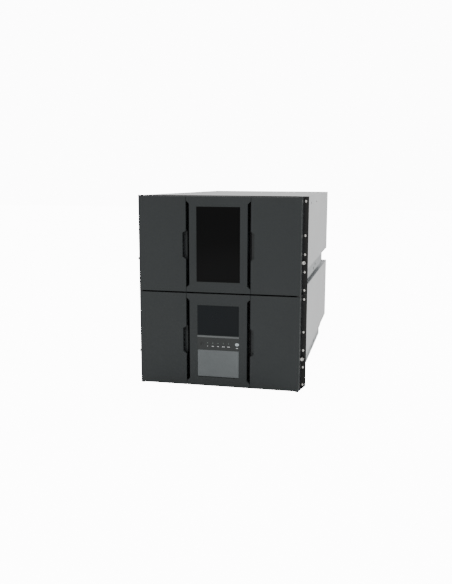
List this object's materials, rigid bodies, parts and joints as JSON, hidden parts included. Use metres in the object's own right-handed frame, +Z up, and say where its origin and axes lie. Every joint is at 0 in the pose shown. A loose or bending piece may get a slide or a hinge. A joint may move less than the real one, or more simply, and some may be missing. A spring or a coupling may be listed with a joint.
{
  "type": "data tape library",
  "caption": "Rack-mounted tape library of two stacked modules with hinged doors, window, load port, lifting picker, magazines and rear-loaded drives.",
  "frame": {"origin": "centre of the base, on the surface it stands on", "axes": "+X to the machine's right seen from the front, +Y from the front to the back, +Z up"},
  "size_m": [0.4826, 0.921, 0.5334],
  "materials": {
    "light_grey_paint": "fine-textured powder coat",
    "zinc_steel": "zinc-plated sheet",
    "black_paint": "satin black powder coat",
    "nickel": "nickel-plated",
    "graphite_plastic": "fine-grained moulded graphite",
    "window_glass": "smoked, polished",
    "display_glass": "dark, polished",
    "black_plastic": "moulded",
    "silver_trim": "satin",
    "strip_plastic": "satin",
    "lamp_plastic": "clear lens",
    "button_plastic": "moulded white",
    "grey_plastic": "fine-grained moulded grey",
    "drive_steel": "plated sheet",
    "polished_steel": "ground",
    "machined_steel": "machined",
    "brass": "machined",
    "cast_aluminium": "cast and machined",
    "motor_black": "black"
  },
  "bodies": {
    "root": {"base_left_side": "light_grey_paint", "base_right_side": "light_grey_paint", "upper_left_side": "light_grey_paint", "upper_right_side": "light_grey_paint", "top_cover": "light_grey_paint", "base_rear_panel": "light_grey_paint", "upper_rear_panel": "light_grey_paint", "base_floor": "zinc_steel", "middle_deck": "zinc_steel", "slide_rails": "zinc_steel", "drive_cages": "zinc_steel", "base_left_ear": "black_paint", "base_right_ear": "black_paint", "upper_left_ear": "black_paint", "upper_right_ear": "black_paint", "base_front_frame": "black_paint", "upper_front_frame": "black_paint", "hinge_pins": "nickel", "ear_screws": "nickel", "base_bezel": "graphite_plastic", "upper_bezel": "graphite_plastic", "window_pane": "window_glass", "display_glass": "display_glass", "display_carrier": "black_plastic", "load_port_tray": "black_plastic", "base_left_magazine": "black_plastic", "base_right_magazine": "black_plastic", "upper_left_magazine": "black_plastic", "upper_right_magazine": "black_plastic", "trim_strip": "silver_trim", "indicator_strip": "strip_plastic", "status_lamps": "lamp_plastic", "bay_covers": "drive_steel", "controller_module": "drive_steel", "lift_posts": "polished_steel", "lift_rack": "machined_steel"},
    "upper_left_door": {"upper_left_door": "graphite_plastic"},
    "upper_right_door": {"upper_right_door": "graphite_plastic"},
    "base_left_door": {"base_left_door": "graphite_plastic"},
    "base_right_door": {"base_right_door": "graphite_plastic"},
    "load_port_door": {"load_port_door": "grey_plastic"},
    "power_button": {"power_button": "button_plastic"},
    "lock_barrel": {"lock_barrel": "strip_plastic"},
    "base_left_thumbscrew": {"base_left_thumbscrew": "nickel"},
    "base_right_thumbscrew": {"base_right_thumbscrew": "nickel"},
    "upper_left_thumbscrew": {"upper_left_thumbscrew": "nickel"},
    "upper_right_thumbscrew": {"upper_right_thumbscrew": "nickel"},
    "lift": {"lift_frame": "cast_aluminium", "lift_motor": "motor_black"},
    "lift_pinion": {"lift_pinion": "brass"},
    "carriage": {"picker_carriage": "cast_aluminium"},
    "cradle": {"picker_cradle": "black_plastic"},
    "gripper": {"gripper": "cast_aluminium"},
    "drive_sled_a": {"drive_sled_a": "drive_steel"},
    "drive_sled_b": {"drive_sled_b": "drive_steel"},
    "drive_sled_c": {"drive_sled_c": "drive_steel"},
    "power_supply_a": {"power_supply_a": "drive_steel"},
    "power_supply_b": {"power_supply_b": "drive_steel"},
    "fan_rotor_a": {"fan_rotor_a": "black_plastic"},
    "fan_rotor_b": {"fan_rotor_b": "black_plastic"}
  },
  "joints": [
    {"name": "base_left_door_hinge", "type": "hinge", "parent": "root", "child": "base_left_door", "pos_m": [-0.2213, -0.4555, 0.13335], "axis": [0, 0, -1], "range_deg": [0, 110]},
    {"name": "base_right_door_hinge", "type": "hinge", "parent": "root", "child": "base_right_door", "pos_m": [0.2213, -0.4555, 0.13335], "axis": [0, 0, 1], "range_deg": [0, 110]},
    {"name": "upper_left_door_hinge", "type": "hinge", "parent": "root", "child": "upper_left_door", "pos_m": [-0.2213, -0.4555, 0.40005], "axis": [0, 0, -1], "range_deg": [0, 110]},
    {"name": "upper_right_door_hinge", "type": "hinge", "parent": "root", "child": "upper_right_door", "pos_m": [0.2213, -0.4555, 0.40005], "axis": [0, 0, 1], "range_deg": [0, 110]},
    {"name": "load_port_hinge", "type": "hinge", "parent": "root", "child": "load_port_door", "pos_m": [0, -0.4571, 0.031], "axis": [1, 0, 0], "range_deg": [0, 90]},
    {"name": "power_button_press", "type": "slide", "parent": "root", "child": "power_button", "axis": [0, 1, 0], "range_m": [0, 0.0015], "stiffness_N_per_m": 800},
    {"name": "lock_turn", "type": "hinge", "parent": "root", "child": "lock_barrel", "pos_m": [-0.0486, -0.46, 0.1235], "axis": [0, 1, 0], "range_deg": [0, 90]},
    {"name": "base_left_thumbscrew_turn", "type": "hinge", "parent": "root", "child": "base_left_thumbscrew", "pos_m": [-0.23255, -0.4215, 0.0889], "axis": [0, 1, 0], "continuous": true},
    {"name": "base_right_thumbscrew_turn", "type": "hinge", "parent": "root", "child": "base_right_thumbscrew", "pos_m": [0.23255, -0.4215, 0.0889], "axis": [0, 1, 0], "continuous": true},
    {"name": "upper_left_thumbscrew_turn", "type": "hinge", "parent": "root", "child": "upper_left_thumbscrew", "pos_m": [-0.23255, -0.4215, 0.3556], "axis": [0, 1, 0], "continuous": true},
    {"name": "upper_right_thumbscrew_turn", "type": "hinge", "parent": "root", "child": "upper_right_thumbscrew", "pos_m": [0.23255, -0.4215, 0.3556], "axis": [0, 1, 0], "continuous": true},
    {"name": "lift_travel", "type": "slide", "parent": "root", "child": "lift", "axis": [0, 0, -1], "range_m": [0, 0.474]},
    {"name": "lift_pinion_turn", "type": "hinge", "parent": "lift", "child": "lift_pinion", "pos_m": [-0.065, 0.1445, 0.4937], "axis": [1, 0, 0], "range_deg": [0, 2264]},
    {"name": "picker_travel", "type": "slide", "parent": "lift", "child": "carriage", "axis": [0, 1, 0], "range_m": [-0.085, 0.335]},
    {"name": "picker_turn", "type": "hinge", "parent": "carriage", "child": "cradle", "pos_m": [0, -0.2515, 0.4957], "axis": [0, 0, 1], "range_deg": [-90, 180]},
    {"name": "gripper_reach", "type": "slide", "parent": "cradle", "child": "gripper", "axis": [0, -1, 0], "range_m": [0, 0.06]},
    {"name": "drive_a_slide", "type": "slide", "parent": "root", "child": "drive_sled_a", "axis": [0, 1, 0], "range_m": [0, 0.25]},
    {"name": "drive_b_slide", "type": "slide", "parent": "root", "child": "drive_sled_b", "axis": [0, 1, 0], "range_m": [0, 0.25]},
    {"name": "drive_c_slide", "type": "slide", "parent": "root", "child": "drive_sled_c", "axis": [0, 1, 0], "range_m": [0, 0.25]},
    {"name": "power_supply_a_slide", "type": "slide", "parent": "root", "child": "power_supply_a", "axis": [0, 1, 0], "range_m": [0, 0.25]},
    {"name": "power_supply_b_slide", "type": "slide", "parent": "root", "child": "power_supply_b", "axis": [0, 1, 0], "range_m": [0, 0.25]},
    {"name": "fan_a_spin", "type": "hinge", "parent": "power_supply_a", "child": "fan_rotor_a", "pos_m": [0.158, 0.4285, 0.092], "axis": [0, 1, 0], "continuous": true},
    {"name": "fan_b_spin", "type": "hinge", "parent": "power_supply_b", "child": "fan_rotor_b", "pos_m": [0.158, 0.4285, 0.172], "axis": [0, 1, 0], "continuous": true}
  ],
  "couplings": [
    {"joint": "lift_pinion_turn", "follows": "lift_travel", "rad_per_m": 83.333}
  ]
}
